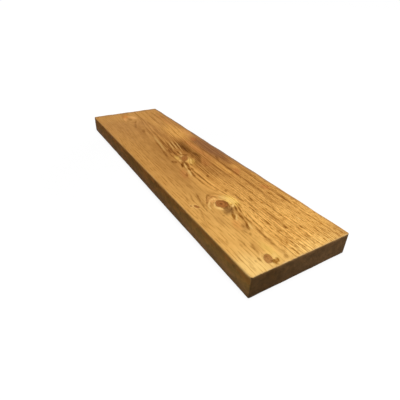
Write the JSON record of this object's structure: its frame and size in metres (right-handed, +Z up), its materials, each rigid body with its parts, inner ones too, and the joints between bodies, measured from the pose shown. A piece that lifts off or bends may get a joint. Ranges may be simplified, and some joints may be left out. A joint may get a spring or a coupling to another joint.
{
  "type": "timber plank",
  "caption": "Solid softwood plank with a brushed, oiled finish, knots and eased arrises; lies flat on a wide face and serves as a shelf board or general building stock.",
  "frame": {"origin": "middle of the underside", "axes": "+X along the grain and the length, +Y across the width, +Z up through the thickness, out of the face that shows the knots"},
  "size_m": [0.85, 0.225, 0.047],
  "materials": {
    "oiled_pine": "brushed pine, honey-brown oil and wax, satin, with red-brown knots and dark brushed grain"
  },
  "bodies": {
    "root": {"plank": "oiled_pine"}
  },
  "joints": []
}
